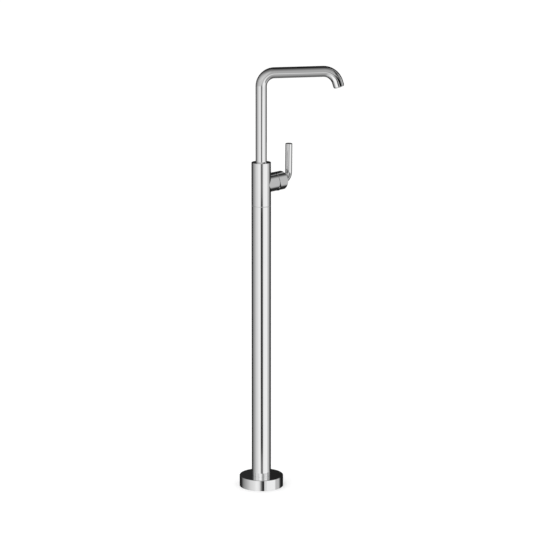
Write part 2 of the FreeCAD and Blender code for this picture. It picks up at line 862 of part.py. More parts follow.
def write_parts():
    pipes = both_sides(make_pipe, pipe_offset)
    parts = {
        "base_plate": make_base_plate(),
        "floor_seal": make_floor_seal(),
        "base_cover": make_base_cover(),
        "cover_seal": make_cover_seal(),
        "column_tube": make_column_tube(),
        "column_screws": make_column_screws(),
        "check_valves": make_check_valves(),
        "hot_pipe": pipes[0],
        "cold_pipe": pipes[1],
        "lower_union_nuts": make_union_nuts(spigot_top, False),
        "upper_union_nuts": make_union_nuts(spigot_foot, True),
        "pipe_olives": make_pipe_olives(),
        "seam_ring": make_seam_ring(),
        "mixer_body": make_mixer_body(),
        "cartridge_base": on_handle(make_cartridge_base()),
        "cartridge_seals": on_handle(make_cartridge_seals()),
        "cartridge_shell": on_handle(make_cartridge_shell()),
        "fixed_disc": on_handle(make_fixed_disc()),
        "moving_disc": on_handle(make_moving_disc()),
        "disc_carrier": on_handle(make_disc_carrier()),
        "cartridge_rotor": on_handle(make_cartridge_rotor()),
        "pivot_pin": on_handle(pivot_rod(pivot_pin_d / 2, pivot_pin_l)),
        "cartridge_nut": on_handle(make_cartridge_nut()),
        "sleeve_dome": on_handle(make_sleeve_dome()),
        "lever_stem": on_handle(make_lever_stem()),
        "handle_cap": on_handle(make_handle_cap()),
        "handle_screw": on_handle(make_handle_screw()),
        "lever_rod": on_handle(make_lever_rod()),
        "spout_bearing": make_spout_bearing(),
        "spout_stop_screw": make_spout_stop_screw(),
        "spout_pipe": make_spout_pipe(),
        "spout_tail": make_spout_tail(),
        "spout_rings": make_spout_rings(),
        "aerator_housing": on_nose(make_aerator_housing()),
        "aerator_insert": on_nose(make_aerator_insert()),
        "aerator_washer": on_nose(make_aerator_washer()),
    }
    os.makedirs("parts", exist_ok=True)
    for name, shape in parts.items():
        shape.exportStep("parts/" + name + ".step")
        print(name, "solids", len(shape.Solids), "valid", shape.isValid(),
              "volume", round(shape.Volume, 1))
    print("outlet at", round(outlet_x, 2), round(outlet_z, 2))
    print("top at", round(spout_axis + spout_r, 2), "handle axis at", round(axis_z, 2))
    print("disc travel", round(disc_travel, 3))


write_parts()
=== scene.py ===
import math

import bpy
from mathutils import Matrix, Vector


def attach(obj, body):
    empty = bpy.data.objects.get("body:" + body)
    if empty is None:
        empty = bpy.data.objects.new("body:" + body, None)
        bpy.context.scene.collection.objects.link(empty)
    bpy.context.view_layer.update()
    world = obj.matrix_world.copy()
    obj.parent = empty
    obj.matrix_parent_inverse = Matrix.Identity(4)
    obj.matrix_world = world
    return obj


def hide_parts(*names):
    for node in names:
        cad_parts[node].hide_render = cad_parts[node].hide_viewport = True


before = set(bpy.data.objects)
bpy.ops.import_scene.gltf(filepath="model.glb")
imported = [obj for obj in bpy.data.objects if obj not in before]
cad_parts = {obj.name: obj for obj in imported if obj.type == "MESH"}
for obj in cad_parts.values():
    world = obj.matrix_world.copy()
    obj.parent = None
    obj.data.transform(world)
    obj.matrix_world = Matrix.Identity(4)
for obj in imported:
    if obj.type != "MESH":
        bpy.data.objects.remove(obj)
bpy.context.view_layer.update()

# Floor standing bath filler. Metres, Z up, spout along +X, like the CAD model it is dressed from.
mm = 0.001


# Shader helpers
def newMaterial(name):
    material = bpy.data.materials.new(name)
    material.use_nodes = True
    material.node_tree.nodes.clear()
    return material, material.node_tree


def addNode(tree, kind, settings=None, **inputs):
    # inputs are sockets to link from, or plain values; an underscore stands for a space
    node = tree.nodes.new(kind)
    for key, value in (settings or {}).items():
        setattr(node, key, value)
    for key, value in inputs.items():
        socket = node.inputs[int(key[3:])] if key.startswith("in_") else node.inputs[key.replace("_", " ")]
        if isinstance(value, bpy.types.NodeSocket):
            tree.links.new(value, socket)
        else:
            socket.default_value = value
    return node


def mathNode(tree, operation, first, second=0.0, clamp=False):
    node = addNode(tree, "ShaderNodeMath", {"operation": operation, "use_clamp": clamp},
                   in_0=first, in_1=second)
    return node.outputs[0]


def mixColour(tree, factor, first, second):
    # 0, 6 and 7 are the sockets of the factor and of the two colours
    node = addNode(tree, "ShaderNodeMix", {"data_type": "RGBA"})
    for index, value in ((0, factor), (6, first), (7, second)):
        if isinstance(value, bpy.types.NodeSocket):
            tree.links.new(value, node.inputs[index])
        else:
            node.inputs[index].default_value = value
    return node.outputs[2]


def rampNode(tree, factor, stops):
    # stops: (position, grey)
    node = addNode(tree, "ShaderNodeValToRGB", Fac=factor)
    ramp = node.color_ramp
    while len(ramp.elements) < len(stops):
        ramp.elements.new(0.5)
    for element, (position, grey) in zip(ramp.elements, stops):
        element.position = position
        element.color = (grey, grey, grey, 1)
    return node.outputs["Color"]


def finishMaterial(tree, shader):
    output = tree.nodes.new("ShaderNodeOutputMaterial")
    tree.links.new(shader.outputs[0], output.inputs["Surface"])


def linear(shade):
    # screen shade 0...255 to linear light
    value = shade / 255
    return value / 12.92 if value <= 0.04045 else ((value + 0.055) / 1.055) ** 2.4


def tentLight(shade):
    # light that chrome mirrors as this shade
    return linear(shade) / studio["chromeShine"]


# Camera
cameraSetup = {
    "turn": -11.496,          # degrees; the spout points away to the right by this much
    "pitch": 12.423,          # degrees downwards
    "distance": 6.618,        # level distance from the column
    "height": 2.0425,
    "sideways": 0.01341,      # the camera stands a little to the right of the column
    "lens": 178.18,           # mm
    "sensor": 36,             # mm wide
    "farthest": 100,          # what it sees ends here
}
turn = math.radians(cameraSetup["turn"])
viewAlong = Vector((-math.sin(turn), math.cos(turn), 0))      # level direction of view
viewRight = Vector((math.cos(turn), math.sin(turn), 0))


def placeCamera():
    pitch = math.radians(cameraSetup["pitch"])
    data = bpy.data.cameras.new("studioCamera")
    data.lens = cameraSetup["lens"]
    data.clip_end = cameraSetup["farthest"]
    data.sensor_width = cameraSetup["sensor"]
    camera = bpy.data.objects.new("studioCamera", data)
    camera.location = (viewAlong * -cameraSetup["distance"] + viewRight * cameraSetup["sideways"]
                       + Vector((0, 0, cameraSetup["height"])))
    aim = viewAlong * math.cos(pitch) - Vector((0, 0, math.sin(pitch)))
    camera.rotation_mode = "QUATERNION"
    camera.rotation_quaternion = aim.to_track_quat("-Z", "Y")
    bpy.context.scene.collection.objects.link(camera)
    bpy.context.scene.camera = camera


# Studio
studio = {
    "tentRadius": 40.0,       # wide, so that every part of the filler mirrors the same walls
    "chromeShine": 0.86,      # the walls are set for this much reflection
    "worldLight": 0.85,       # on the object; the world itself shows white
}
paperFloor = {
    "radius": 30.0,
    "drop": 0.0002,           # how far it lies under the base's own underside
    "greys": (0.9, 0.93),
    "clouds": 3.0,            # to the metre
    "glow": 0.25,             # for the rays that show the floor, so that it shows white
}
overheadBox = {
    "power": 32.0,
    "width": 4.0,
    "place": (-1.5, -2.0, 4.5),
    "aim": (0, 0, 0.3),
}
# The tent's cloths in rings, from straight down to straight up. Between its two heights a ring takes
# over from the one below it. It gives the shade that polished chrome shows, by bearing.
# All in degrees: heights above level, and bearings to the right of the camera.
tentRings = {
    "floorCloth": ((-91, -90), [
        (-180, 100), (-165, 90), (-120, 90), (-90, 120), (-60, 185), (0, 190), (22, 155), (34, 135),
        (50, 128), (70, 118), (100, 98), (135, 70), (165, 118), (180, 100)]),
    "skirt": ((-62, -44), [
        (-180, 60), (-145, 50), (-120, 85), (-100, 120), (-80, 165), (-60, 225), (-40, 245), (-10, 245),
        (5, 225), (14, 200), (22, 165), (36, 163), (60, 150), (75, 130), (85, 184), (105, 184),
        (112, 150), (118, 80), (124, 42), (145, 36), (180, 60)]),
    "wall": ((-23, -17), [
        (-180, 12), (-145, 14), (-131, 36), (-119, 86), (-110, 128), (-101, 143), (-86, 166),
        (-72, 187), (-60, 206), (-48, 214), (-37, 222), (-26, 236), (-15, 230), (-8, 210), (-3, 160),
        (2, 96), (6.5, 54), (11, 36), (15.2, 36), (16, 214), (22, 210), (27, 220), (32, 235),
        (75, 238), (79, 210), (84, 184), (104, 184), (110, 140), (119, 54), (131, 34), (150, 14),
        (180, 12)]),
    "upperWall": ((-8, -2), [
        (-180, 40), (-150, 45), (-130, 60), (-115, 98), (-100, 125), (-85, 155), (-60, 185), (-35, 195),
        (-10, 197), (5, 195), (15, 167), (30, 166), (38, 165), (60, 160), (85, 140), (95, 184),
        (108, 184), (119, 110), (131, 45), (150, 33), (180, 33)]),
    "ceiling": ((25, 75), [
        (-180, 45), (-130, 55), (-90, 95), (-60, 112), (0, 114), (40, 105), (70, 80), (110, 50),
        (150, 30), (180, 35)]),
}
# Cards hung in front of the cloths: from and to in bearing; the lower and the upper edge, each by its
# height at the left and its rise for each degree of bearing; blur of the edges; shade
tentCards = {
    "blackCard": ((24, 66), (-7.5, 0.16), (-4, 0.6), 3, 10),
    "greyCard": ((40, 91), (3, 0.2), (8, 0.95), 4, 74),
    "noseNearCard": ((86, 103), (29, 0), (46, 0), 4, 60),
    "noseFarCard": ((110, 130), (17, 0), (30, 0), 4, 55),
    "whiteLeftCard": ((-104, -68), (16.6, 0), (17.6, 0), 0.6, 178),
    "whiteMiddleCard": ((-68, -25), (16.6, 0), (17.6, 0), 0.6, 226),
    "whiteFrontCard": ((-25, 4), (16.6, 0), (17.6, 0), 0.6, 250),
    "whiteRightCard": ((36, 80), (16.6, 0), (17.6, 0), 0.6, 238),
    "upperWhiteCard": ((36, 80), (9.8, 0), (10.6, 0), 0.6, 222),
    "columnDarkCard": ((-5, 18.2), (-16.4, 0), (-9.95, 0), 0.6, 38),
    "lowBlackCard": ((-132, -92), (-58, 0), (-36, 0), 8, 30),
    "backLeftCard": ((-200, -170), (-40, 0), (6, 0), 3, 236),
    "backRightCard": ((170, 200), (-40, 0), (6, 0), 3, 236),
}


def fadeIn(tree, value, start, end):
    node = addNode(tree, "ShaderNodeMapRange", {"interpolation_type": "SMOOTHSTEP"}, Value=value,
                   From_Min=float(start), From_Max=float(end))
    return node.outputs["Result"]


def between(tree, value, low, high, blur):
    # 1 from low to high, with soft edges
    after = fadeIn(tree, value, low - blur / 2, low + blur / 2)
    beyond = fadeIn(tree, value, high - blur / 2, high + blur / 2)
    return mathNode(tree, "MULTIPLY", after, mathNode(tree, "SUBTRACT", 1.0, beyond))


def makeTentMaterial():
    material, tree = newMaterial("tentCloth")
    place = addNode(tree, "ShaderNodeTexCoord").outputs["Object"]
    level = addNode(tree, "ShaderNodeVectorMath", {"operation": "NORMALIZE"}, in_0=place)
    axes = addNode(tree, "ShaderNodeSeparateXYZ", in_0=level.outputs[0]).outputs
    nearer = mathNode(tree, "MULTIPLY", axes["Y"], -1.0)
    bearing = mathNode(tree, "MULTIPLY", mathNode(tree, "ARCTAN2", axes["X"], nearer), 180 / math.pi)
    rise = mathNode(tree, "MULTIPLY", mathNode(tree, "ARCSINE", axes["Z"]), 180 / math.pi)
    share = mathNode(tree, "DIVIDE", mathNode(tree, "ADD", bearing, 180.0), 360.0)
    colour = (0, 0, 0, 1)
    for (start, end), shades in tentRings.values():
        stops = [((angle + 180) / 360, tentLight(shade)) for angle, shade in shades]
        colour = mixColour(tree, fadeIn(tree, rise, start, end), colour, rampNode(tree, share, stops))
    for (left, right), (low, lowSlant), (high, highSlant), blur, shade in tentCards.values():
        along = mathNode(tree, "SUBTRACT", bearing, float(left))
        above = mathNode(tree, "SUBTRACT", rise, mathNode(tree, "MULTIPLY", along, float(lowSlant)))
        below = mathNode(tree, "SUBTRACT", rise, mathNode(tree, "MULTIPLY", along, float(highSlant)))
        upright = mathNode(tree, "SUBTRACT", fadeIn(tree, above, low - blur / 2, low + blur / 2),
                           fadeIn(tree, below, high - blur / 2, high + blur / 2), clamp=True)
        cover = mathNode(tree, "MULTIPLY", between(tree, bearing, left, right, blur), upright)
        light = tentLight(shade)
        colour = mixColour(tree, cover, colour, (light, light, light, 1))
    finishMaterial(tree, addNode(tree, "ShaderNodeEmission", Color=colour, Strength=1.0))
    return material


def makeTent():
    # The light tent is what polished metal mirrors; the camera doesn't see it
    mesh = bpy.data.meshes.new("studioTent")
    rows, columns = 24, 48
    points = []
    for row in range(rows + 1):
        rise = math.pi * (row / rows - 0.5)
        for column in range(columns):
            bearing = 2 * math.pi * column / columns
            points.append((math.cos(rise) * math.cos(bearing) * studio["tentRadius"],
                           math.cos(rise) * math.sin(bearing) * studio["tentRadius"],
                           math.sin(rise) * studio["tentRadius"]))
    faces = []
    for row in range(rows):
        for column in range(columns):
            after = (column + 1) % columns
            faces.append((row * columns + column, row * columns + after,
                          (row + 1) * columns + after, (row + 1) * columns + column))
    mesh.from_pydata(points, [], faces)
    tent = bpy.data.objects.new("studioTent", mesh)
    tent.rotation_euler = (0, 0, turn)
    mesh.materials.append(makeTentMaterial())
    bpy.context.scene.collection.objects.link(tent)
    for ray in ("visible_camera", "visible_diffuse", "visible_transmission",
                "visible_volume_scatter", "visible_shadow"):
        setattr(tent, ray, False)


def backgroundShare(tree):
    # 1 for the rays that show the background itself: camera, glossy and transmission rays
    rays = addNode(tree, "ShaderNodeLightPath").outputs
    seen = mathNode(tree, "ADD", rays["Is Camera Ray"], rays["Is Glossy Ray"])
    return mathNode(tree, "ADD", seen, rays["Is Transmission Ray"], clamp=True)


def makeFloor():
    material, tree = newMaterial("studioFloor")
    clouds = addNode(tree, "ShaderNodeTexNoise", Scale=paperFloor["clouds"], Detail=4.0).outputs["Fac"]
    colour = mixColour(tree, clouds, *[(grey, grey, grey, 1) for grey in paperFloor["greys"]])
    paper = addNode(tree, "ShaderNodeBsdfDiffuse", Color=colour)
    glow = mathNode(tree, "MULTIPLY", backgroundShare(tree), paperFloor["glow"])
    light = addNode(tree, "ShaderNodeEmission", Strength=glow)
    both = addNode(tree, "ShaderNodeAddShader")
    tree.links.new(paper.outputs[0], both.inputs[0])
    tree.links.new(light.outputs[0], both.inputs[1])
    finishMaterial(tree, both)
    mesh = bpy.data.meshes.new("studioFloor")
    corners = 96
    angles = [2 * math.pi * corner / corners for corner in range(corners)]
    points = [(paperFloor["radius"] * math.cos(angle), paperFloor["radius"] * math.sin(angle),
               -paperFloor["drop"]) for angle in angles]
    mesh.from_pydata(points, [], [tuple(range(corners))])
    mesh.materials.append(material)
    floor = bpy.data.objects.new("studioFloor", mesh)
    floor.visible_glossy = False      # the mirror finish shows the tent all round instead
    bpy.context.scene.collection.objects.link(floor)


def makeWorld():
    world = bpy.data.worlds.new("studioWorld")
    bpy.context.scene.world = world
    world.use_nodes = True
    tree = world.node_tree
    tree.nodes.clear()
    share = backgroundShare(tree)
    strength = mathNode(tree, "MULTIPLY_ADD", share, 1 - studio["worldLight"])
    strength.node.inputs[2].default_value = studio["worldLight"]
    background = addNode(tree, "ShaderNodeBackground", Color=(1, 1, 1, 1), Strength=strength)
    output = tree.nodes.new("ShaderNodeOutputWorld")
    tree.links.new(background.outputs[0], output.inputs["Surface"])


def makeLamp():
    data = bpy.data.lights.new("overheadBox", "AREA")
    data.shape = "DISK"
    data.size = overheadBox["width"]
    data.energy = overheadBox["power"]
    lamp = bpy.data.objects.new("overheadBox", data)
    lamp.location = overheadBox["place"]
    lamp.rotation_mode = "QUATERNION"
    lamp.rotation_quaternion = (Vector(overheadBox["aim"]) - lamp.location).to_track_quat("-Z", "Y")
    lamp.visible_glossy = False
    lamp.visible_camera = False
    bpy.context.scene.collection.objects.link(lamp)


# Finishes: what more than one of them shares. Scales are features to the metre, depths are metres.
def makeGroup(name, inputs, outputs):
    # inputs and outputs are (name, socket kind, value it starts with)
    group = bpy.data.node_groups.new(name, "ShaderNodeTree")
    for socketName, kind, value in inputs:
        socket = group.interface.new_socket(socketName, in_out="INPUT", socket_type=kind)
        if value is not None:
            socket.default_value = value
    for socketName, kind in outputs:
        group.interface.new_socket(socketName, in_out="OUTPUT", socket_type=kind)
    return group, group.nodes.new("NodeGroupInput").outputs, group.nodes.new("NodeGroupOutput").inputs


def makeTurnedLines():
    # Fine rings left by a lathe round the z axis of Place, on rounds and on faces alike
    group, given, result = makeGroup(
        "turnedLines", [("Place", "NodeSocketVector", None), ("Lines", "NodeSocketFloat", 2500.0)],
        [("Height", "NodeSocketFloat")])
    axes = addNode(group, "ShaderNodeSeparateXYZ", in_0=given["Place"]).outputs
    flat = addNode(group, "ShaderNodeCombineXYZ", X=axes["X"], Y=axes["Y"])
    radius = addNode(group, "ShaderNodeVectorMath", {"operation": "LENGTH"}, in_0=flat.outputs[0])
    spread = addNode(group, "ShaderNodeCombineXYZ", X=radius.outputs["Value"], Y=axes["Z"])
    rings = addNode(group, "ShaderNodeTexNoise", Vector=spread.outputs[0], Scale=given["Lines"],
                    Detail=3.0)
    group.links.new(rings.outputs["Fac"], result["Height"])
    return group


handlingMarks = {
    "wipes": (160.0, 160.0, 22.0),    # long marks, upright
    "shown": (0.15, 0.42),            # from where they begin to show to where they are full
}


def makeHandling():
    # Soft patches where cloths and fingers have been, with a few finer wipe marks in them
    group, given, result = makeGroup(
        "handling", [("Place", "NodeSocketVector", None), ("Patch", "NodeSocketFloat", 14.0)],
        [("Amount", "NodeSocketFloat")])
    patches = addNode(group, "ShaderNodeTexNoise", Vector=given["Place"], Scale=given["Patch"], Detail=3.0)
    stretched = addNode(group, "ShaderNodeMapping", Vector=given["Place"],
                        Scale=handlingMarks["wipes"])
    wipes = addNode(group, "ShaderNodeTexNoise", Vector=stretched.outputs[0], Scale=1.0, Detail=4.0)
    both = mathNode(group, "MULTIPLY", patches.outputs["Fac"], wipes.outputs["Fac"])
    begin, full = handlingMarks["shown"]
    shaped = addNode(group, "ShaderNodeMapRange", Value=both, From_Min=begin, From_Max=full)
    group.links.new(shaped.outputs["Result"], result["Amount"])
    return group


def makeSpeckle():
    # Even fine grain, as moulded and sintered faces have, with wide clouds of tone
    group, given, result = makeGroup(
        "speckle", [("Place", "NodeSocketVector", None), ("Grain", "NodeSocketFloat", 3000.0)],
        [("Height", "NodeSocketFloat"), ("Tone", "NodeSocketFloat")])
    grain = addNode(group, "ShaderNodeTexNoise", Vector=given["Place"], Scale=given["Grain"], Detail=2.0)
    cloud = addNode(group, "ShaderNodeTexNoise", Vector=given["Place"], Scale=60.0, Detail=4.0)
    group.links.new(grain.outputs["Fac"], result["Height"])
    group.links.new(cloud.outputs["Fac"], result["Tone"])
    return group


turnedLines = makeTurnedLines()
handling = makeHandling()
speckle = makeSpeckle()


def useGroup(tree, group, **inputs):
    return addNode(tree, "ShaderNodeGroup", {"node_tree": group}, **inputs).outputs


# The handle's axis: where it leaves the column's axis, and which way it goes
handle = {"angle": 37.0, "height": 799.5 * mm}
handleAngle = math.radians(handle["angle"])
outwards = Vector((math.cos(handleAngle), math.sin(handleAngle), 0))
sideways = Vector((math.sin(handleAngle), -math.cos(handleAngle), 0))
handleFrame = Matrix((Vector((0, 0, 1)), sideways, outwards)).transposed().to_4x4()
handleFrame.translation = Vector((0, 0, handle["height"]))


def placeOn(tree, axis):
    # Place on the piece, with the piece's own axis along z
    place = addNode(tree, "ShaderNodeTexCoord").outputs["Object"]
    if axis == "upright":
        return place
    return addNode(tree, "ShaderNodeMapping", {"vector_type": "TEXTURE"}, Vector=place,
                   Location=handleFrame.to_translation(), Rotation=handleFrame.to_euler()).outputs[0]


def toRange(tree, value, low, high):
    # value 0...1 to low...high
    return addNode(tree, "ShaderNodeMapRange", Value=value, To_Min=low, To_Max=high).outputs["Result"]


# Finishes
chrome = {
    "shine": studio["chromeShine"],
    "domePaintedShade": 0.07,        # painted shade: the dome inside the joint of the handle is plated near black to stand for the shade in the joint
    "wiped": (0.985, 0.988, 0.995),   # tint of the wiped patches
    "patch": 14.0,
    "rough": (0.018, 0.05),   # where nothing has touched it, and in the wiped patches
}


def makeChrome(name, shine):
    material, tree = newMaterial(name)
    place = placeOn(tree, "upright")
    marks = useGroup(tree, handling, Place=place, Patch=chrome["patch"])["Amount"]
    wiped = [shine * tint for tint in chrome["wiped"]]
    colour = mixColour(tree, marks, (shine, shine, shine, 1), (*wiped, 1))
    metal = addNode(tree, "ShaderNodeBsdfPrincipled", Base_Color=colour, Metallic=1.0,
                    Roughness=toRange(tree, marks, *chrome["rough"]))
    finishMaterial(tree, metal)
    return material


brass = {
    "fresh": (0.78, 0.56, 0.25, 1),
    "worn": (0.52, 0.36, 0.15, 1),
    "lines": 2600.0,
    "rough": 0.26,
}
steel = {
    "fresh": (0.62, 0.61, 0.59, 1),
    "worn": (0.47, 0.46, 0.45, 1),
    "lines": 4200.0,
    "rough": 0.3,
}
turning = {
    "patch": 45.0,
    "bump": (0.35, 0.00004),  # strength and depth
    "smoother": 0.06,         # how much the roughness goes down and up along the lines
    "rougher": 0.12,
}


def makeTurnedMetal(name, metal, axis):
    material, tree = newMaterial(name)
    place = placeOn(tree, axis)
    height = useGroup(tree, turnedLines, Place=place, Lines=metal["lines"])["Height"]
    marks = useGroup(tree, handling, Place=place, Patch=turning["patch"])["Amount"]
    colour = mixColour(tree, marks, metal["fresh"], metal["worn"])
    strength, depth = turning["bump"]
    bump = addNode(tree, "ShaderNodeBump", Height=height, Strength=strength, Distance=depth)
    rough = toRange(tree, height, metal["rough"] - turning["smoother"],
                    metal["rough"] + turning["rougher"])
    shader = addNode(tree, "ShaderNodeBsdfPrincipled", Base_Color=colour, Metallic=1.0, Roughness=rough,
                     Normal=bump.outputs[0])
    finishMaterial(tree, shader)
    return material


copper = {
    "fresh": (0.83, 0.44, 0.31, 1),
    "oxide": (0.42, 0.21, 0.15, 1),
    "drawMarks": (2600.0, 2600.0, 30.0),
    "patch": 25.0,
    "bump": (0.3, 0.00003),   # strength and depth
    "rough": (0.22, 0.38),
}


def makeCopper():
    # Drawn tube: marks run along it, and it is darker where it has been handled
    material, tree = newMaterial("drawnCopper")
    place = placeOn(tree, "upright")
    stretched = addNode(tree, "ShaderNodeMapping", Vector=place, Scale=copper["drawMarks"])
    draw = addNode(tree, "ShaderNodeTexNoise", Vector=stretched.outputs[0], Scale=1.0, Detail=3.0)
    marks = useGroup(tree, handling, Place=place, Patch=copper["patch"])["Amount"]
    colour = mixColour(tree, marks, copper["fresh"], copper["oxide"])
    strength, depth = copper["bump"]
    bump = addNode(tree, "ShaderNodeBump", Height=draw.outputs["Fac"], Strength=strength, Distance=depth)
    metal = addNode(tree, "ShaderNodeBsdfPrincipled", Base_Color=colour, Metallic=1.0,
                    Roughness=toRange(tree, draw.outputs["Fac"], *copper["rough"]), Normal=bump.outputs[0])
    finishMaterial(tree, metal)
    return material


# Moulded and sintered stuffs: two tones, grain and its depth, roughness, and how far light gets in
rubber = {
    "tones": ((0.018, 0.018, 0.019, 1), (0.055, 0.055, 0.058, 1)),
    "grain": 5200.0,
    "depth": 0.00003,
    "rough": 0.62,
    "soft": 0.0,
}
plastic = {
    "tones": ((0.74, 0.73, 0.69, 1), (0.64, 0.63, 0.58, 1)),
    "grain": 3600.0,
    "depth": 0.00002,
    "rough": 0.42,
    "soft": 0.1,
}
greyPlastic = {
    "tones": ((0.42, 0.42, 0.43, 1), (0.48, 0.48, 0.48, 1)),
    "grain": 3600.0,
    "depth": 0.00002,
    "rough": 0.45,
    "soft": 0.0,
}
ceramic = {
    "tones": ((0.84, 0.83, 0.80, 1), (0.72, 0.71, 0.68, 1)),
    "grain": 9000.0,
    "depth": 0.000004,
    "rough": 0.2,
    "soft": 0.05,
}
moulding = {
    "bump": 0.4,
    "roughSpread": 0.08,
    "softScale": 0.002,
}


def makeMoulded(name, stuff):
    material, tree = newMaterial(name)
    place = placeOn(tree, "upright")
    fine = useGroup(tree, speckle, Place=place, Grain=stuff["grain"])
    colour = mixColour(tree, fine["Tone"], *stuff["tones"])
    bump = addNode(tree, "ShaderNodeBump", Height=fine["Height"], Strength=moulding["bump"],
                   Distance=stuff["depth"])
    spread = moulding["roughSpread"]
    rough = toRange(tree, fine["Height"], stuff["rough"] - spread, stuff["rough"] + spread)
    shader = addNode(tree, "ShaderNodeBsdfPrincipled", Base_Color=colour, Roughness=rough,
                     Subsurface_Weight=stuff["soft"], Subsurface_Scale=moulding["softScale"],
                     Normal=bump.outputs[0])
    finishMaterial(tree, shader)
    return material


finishes = {
    "chrome": makeChrome("polishedChrome", chrome["shine"]),
    # near-black chrome for the dome in the handle's joint: painted shade
    "paintedShadeChrome": makeChrome("paintedShadeChrome", chrome["domePaintedShade"]),
    "uprightBrass": makeTurnedMetal("turnedBrassUpright", brass, "upright"),
    "levelBrass": makeTurnedMetal("turnedBrassLevel", brass, "handle"),
    "copper": makeCopper(),
    "steel": makeTurnedMetal("stainlessSteel", steel, "handle"),
    "rubber": makeMoulded("sealRubber", rubber),
    "plastic": makeMoulded("valvePlastic", plastic),
    "greyPlastic": makeMoulded("seamPlastic", greyPlastic),
    "ceramic": makeMoulded("lappedCeramic", ceramic),
}
nodeFinishes = {
    "chrome": ["base_cover", "column_tube", "mixer_body", "handle_cap", "lever_rod", "spout_pipe",
               "aerator_housing"],
    "paintedShadeChrome": ["sleeve_dome"],
    "uprightBrass": ["base_plate", "lower_union_nuts", "upper_union_nuts", "pipe_olives", "spout_tail"],
    "levelBrass": ["cartridge_nut", "lever_stem"],
    "copper": ["hot_pipe", "cold_pipe"],
    "steel": ["column_screws", "pivot_pin", "handle_screw", "spout_stop_screw"],
    "rubber": ["floor_seal", "cover_seal", "cartridge_seals", "spout_rings", "aerator_washer"],
    "plastic": ["check_valves", "cartridge_base", "cartridge_shell", "cartridge_rotor", "disc_carrier",
                "spout_bearing", "aerator_insert"],
    "greyPlastic": ["seam_ring"],
    "ceramic": ["fixed_disc", "moving_disc"],
}


def dressNodes():
    for finish, names in nodeFinishes.items():
        for name in names:
            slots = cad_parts[name].data.materials
            slots.clear()
            slots.append(finishes[finish])
    dressed = sum(nodeFinishes.values(), [])
    print("finishes on", len(dressed), "of", len(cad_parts), "nodes")


# Mesh helpers. They work in millimetres. A piece is made of strips, and a strip of rings of points that
# each carry their own normal: a strip is smooth, and strips meet in a crease.
def straight(start, end):
    # Stations of a lathe's profile, radius and height, with the metal to the left of the way
    reach = math.dist(start, end)
    outward = (end[1] - start[1]) / reach
    along = (start[0] - end[0]) / reach
    return [(*start, outward, along), (*end, outward, along)]


def domed(centre, radius, start, end, side=1, steps=16):
    # Part of a ball about a centre on the axis, between two heights in degrees; side -1 is its inside
    stations = []
    for step in range(steps + 1):
        angle = math.radians(start + (end - start) * step / steps)
        outward, along = math.cos(angle), math.sin(angle)
        stations.append((radius * outward, centre + radius * along, outward * side, along * side))
    return stations


def lathe(profile, place=Matrix.Identity(4), around=144):
    # Turns each line of the profile round the z axis of the place
    spin = place.to_3x3()
    strips = []
    for stations in profile:
        rings = []
        for radius, height, outward, along in stations:
            ring = []
            for step in range(around):
                angle = 2 * math.pi * step / around
                across = Vector((math.cos(angle), math.sin(angle), 0))
                point = place @ (across * radius + Vector((0, 0, height)))
                ring.append((point, spin @ (across * outward + Vector((0, 0, along)))))
            rings.append(ring)
        strips.append((rings, True))
    return strips


def pipeWall(path, radius, side, around=96):
    # path: (centre, direction towards the outside of the bends); side -1 is the bore
    rings = []
    for centre, outer in path:
        ring = []
        for step in range(around):
            angle = 2 * math.pi * step / around
            across = outer * math.cos(angle) + Vector((0, 1, 0)) * math.sin(angle)
            ring.append((centre + across * radius, across * side))
        rings.append(ring)
    return [(rings, True)]


def makePiece(name, strips, finish, slot, body, *nodes):
    # A strip is its rings, and whether each ring closes on itself
    points, normals, faces = [], [], []
    for rings, closed in strips:
        for below, above in zip(rings, rings[1:]):
            start, count = len(points), len(below)
            points += [point * mm for point, _ in below + above]
            normals += [normal for _, normal in below + above]
            for here in range(count if closed else count - 1):
                after = (here + 1) % count
                face = [start + here, start + after, start + count + after, start + count + here]
                across = (points[face[2]] - points[face[0]]).cross(points[face[3]] - points[face[1]])
                facing = sum((across.dot(normals[corner]) for corner in face))
                faces.append(face if facing > 0 else face[::-1])
    mesh = bpy.data.meshes.new(name)
    mesh.from_pydata(points, [], faces)
    mesh.shade_smooth()
    mesh.normals_split_custom_set_from_vertices(normals)
    mesh.materials.append(finishes[finish])
    piece = bpy.data.objects.new(name, mesh)
    bpy.context.scene.collection.objects.link(piece)
    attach(piece, body)
    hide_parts(*nodes)


# Column and mixer body: one line of chrome, with a fine joint between them
column = {
    "radius": 25.0,
    "bore": 23.5,
    "foot": 12.0,
    "top": 744.2,
    "seamTop": 744.8,
    "seamTaper": (0.12, 0.35),   # how far the edges at the joint draw in, and over what height
}
mixer = {
    "top": 856.5,
    "topBevel": 0.25,
    "socket": (14.6, 844.5),   # of the spout; this and the other pairs are radius and foot
    "tailSocket": (12.2, 818.5),
    "spigot": (23.4, 726.8),
    "sleeve": 24.75,
    "sleeveEnd": 44.4,         # this and the two pairs below are along the handle's axis
    "sleeveBevel": 0.1,
    "domeSeat": (21.6, 42.1),
    "chamber": (17.6, 17.0),
    "frontSteps": 48,          # to each side of the handle
    "backSteps": 96,
    "sleeveSteps": 192,
}


def makeColumnTube():
    radius, bore = column["radius"], column["bore"]
    inset, taper = column["seamTaper"]
    foot, top = column["foot"], column["top"]
    profile = [
        straight((radius, foot), (radius, top - taper)),
        straight((radius, top - taper), (radius - inset, top)),
        straight((radius - inset, top), (bore, top)),
        straight((bore, top), (bore, foot)),
        straight((bore, foot), (radius, foot)),
    ]
    makePiece("columnTube", lathe(profile), "chrome", "chrome", "stand", "column_tube")


